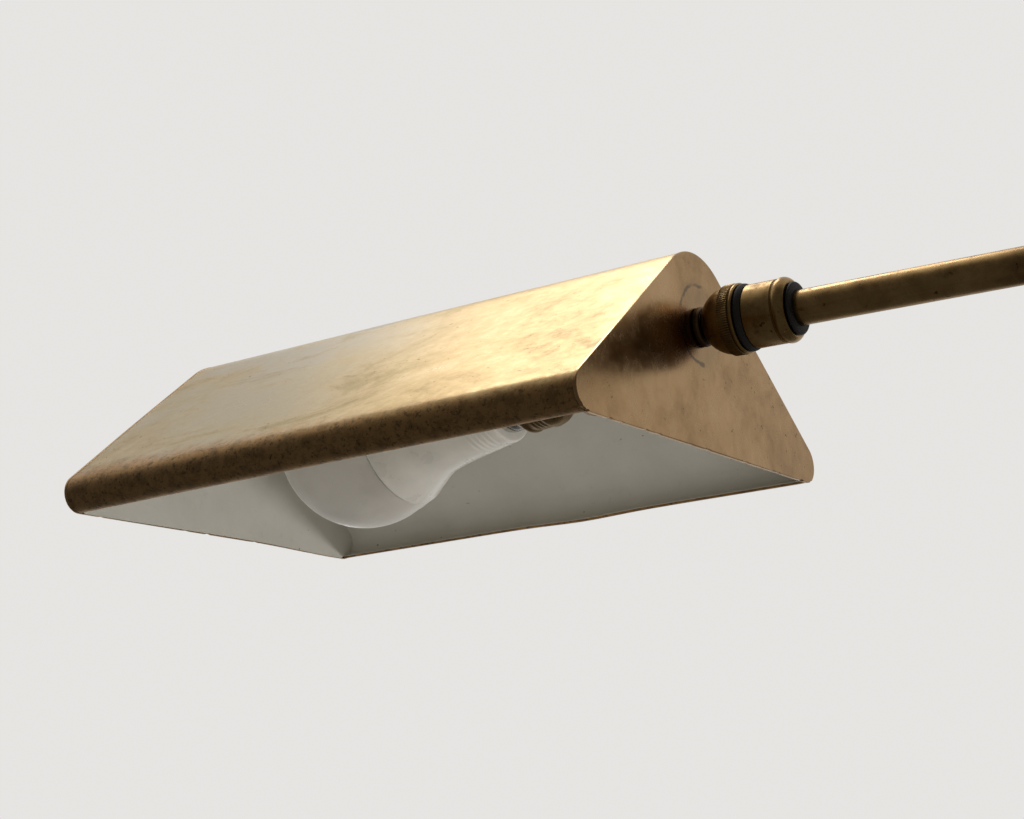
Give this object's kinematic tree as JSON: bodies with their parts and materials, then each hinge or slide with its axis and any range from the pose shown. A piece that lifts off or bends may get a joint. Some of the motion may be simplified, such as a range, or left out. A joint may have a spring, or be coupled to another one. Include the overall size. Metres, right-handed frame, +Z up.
{
  "type": "pharmacy floor lamp",
  "caption": "Floor lamp with a round weighted base, telescoping pole, tilting arm and a tent-shaped brass shade on a ball coupling, with its bulb.",
  "frame": {"origin": "underside of the base, on the pole axis", "axes": "+Z up along the pole; the arm reaches along -X to the shade; +Y towards the shade's back side"},
  "size_m": [0.6576, 0.25, 1.1743],
  "materials": {
    "felt": "pressed felt",
    "iron": "rough cast",
    "base_brass": "aged satin brass",
    "pole_brass": "aged brass with a lengthwise polish",
    "knob_brass": "knurled brass, worn bright on the edges",
    "knuckle_brass": "aged turned brass",
    "arm_brass": "aged tube brass",
    "coupling_brass": "turned brass, dark in the grooves",
    "stud_brass": "dark brass",
    "plate_brass": "matt mottled brass",
    "shade_brass": "aged brass with a mottled brown patina",
    "holder_brass": "dull brass",
    "contact_brass": "bright contact brass",
    "steel": "zinc plated",
    "black_plastic": "black, slightly shiny",
    "white_plastic": "off-white guide plastic",
    "enamel": "old satin white enamel",
    "insulation": "cream insulating board",
    "frosted_dome": "frosted translucent dome",
    "bulb_plastic": "white satin plastic",
    "nickel": "nickel plate",
    "black_glass": "black insulator",
    "board": "white circuit board"
  },
  "bodies": {
    "base": {"base_felt": "felt", "base_weight": "iron", "base_cover": "base_brass", "base_nut": "steel", "base_washer": "steel", "base_nipple": "steel", "cord_gland": "black_plastic", "foot_collar": "base_brass", "outer_tube": "pole_brass", "guide_bush": "white_plastic", "lock_collar": "pole_brass", "dimmer_housing": "pole_brass", "dimmer_module": "black_plastic"},
    "height_screw": {"lock_screw": "knob_brass"},
    "dimmer": {"dimmer_knob": "knob_brass"},
    "riser": {"inner_tube": "pole_brass", "swivel_base": "knuckle_brass", "swivel_clip": "steel"},
    "turret": {"fork": "knuckle_brass", "tilt_pin": "steel", "tilt_washer": "black_plastic", "tilt_nut": "knob_brass"},
    "tilt_clamp": {"tilt_knob": "knob_brass"},
    "arm": {"arm_knuckle": "knuckle_brass", "arm_tube": "arm_brass", "arm_bushing": "black_plastic"},
    "coupling": {"coupling_body": "coupling_brass", "coupling_gasket": "black_plastic"},
    "cap": {"knurled_cap": "coupling_brass"},
    "stud": {"ball_stud": "stud_brass", "stud_washers": "stud_brass", "stud_nut": "steel"},
    "shade": {"near_plate": "plate_brass", "far_plate": "plate_brass", "shade_shell": "shade_brass", "shade_enamel": "enamel", "backing_disc": "stud_brass", "holder_cup": "holder_brass", "holder_nipple": "steel", "lampholder_shell": "holder_brass", "lampholder_liner": "insulation", "screw_shell": "contact_brass", "centre_contact": "contact_brass", "socket_base": "insulation"},
    "bulb": {"bulb_dome": "frosted_dome", "bulb_cone": "bulb_plastic", "bulb_screw_base": "nickel", "bulb_insulator": "black_glass", "bulb_contact": "nickel", "led_board": "board"}
  },
  "joints": [
    {"name": "pole_height", "type": "slide", "parent": "base", "child": "riser", "axis": [0, 0, 1], "range_m": [-0.3, 0.15]},
    {"name": "height_screw_turn", "type": "hinge", "parent": "base", "child": "height_screw", "pos_m": [0.02, 0, 0.77], "axis": [1, 0, 0], "range_deg": [0, 180]},
    {"name": "dimmer_turn", "type": "hinge", "parent": "base", "child": "dimmer", "pos_m": [0, -0.03, 0.66], "axis": [0, -1, 0], "range_deg": [0, 270]},
    {"name": "head_turn", "type": "hinge", "parent": "riser", "child": "turret", "pos_m": [0, 0, 1.125], "axis": [0, 0, 1], "range_deg": [-170, 170]},
    {"name": "arm_tilt", "type": "hinge", "parent": "turret", "child": "arm", "pos_m": [0, 0, 1.15], "axis": [0, 1, 0], "range_deg": [-35, 60]},
    {"name": "tilt_clamp_turn", "type": "hinge", "parent": "turret", "child": "tilt_clamp", "pos_m": [0, -0.015, 1.15], "axis": [0, -1, 0], "range_deg": [0, 180]},
    {"name": "coupling_roll", "type": "hinge", "parent": "arm", "child": "coupling", "pos_m": [-0.3, 0, 1.15], "axis": [1, 0, 0], "range_deg": [-170, 170]},
    {"name": "cap_turn", "type": "hinge", "parent": "coupling", "child": "cap", "pos_m": [-0.3176, 0, 1.15], "axis": [1, 0, 0], "range_deg": [0, 90]},
    {"name": "ball_tilt", "type": "hinge", "parent": "coupling", "child": "stud", "pos_m": [-0.3176, 0, 1.15], "axis": [0, 1, 0], "range_deg": [-8, 11]},
    {"name": "shade_turn", "type": "hinge", "parent": "stud", "child": "shade", "pos_m": [-0.3176, 0, 1.15], "axis": [0.9996, 0, 0.0279], "range_deg": [-170, 170]},
    {"name": "bulb_unscrew", "type": "slide", "parent": "shade", "child": "bulb", "axis": [-0.9903, 0, -0.1392], "range_m": [0, 0.028]}
  ]
}
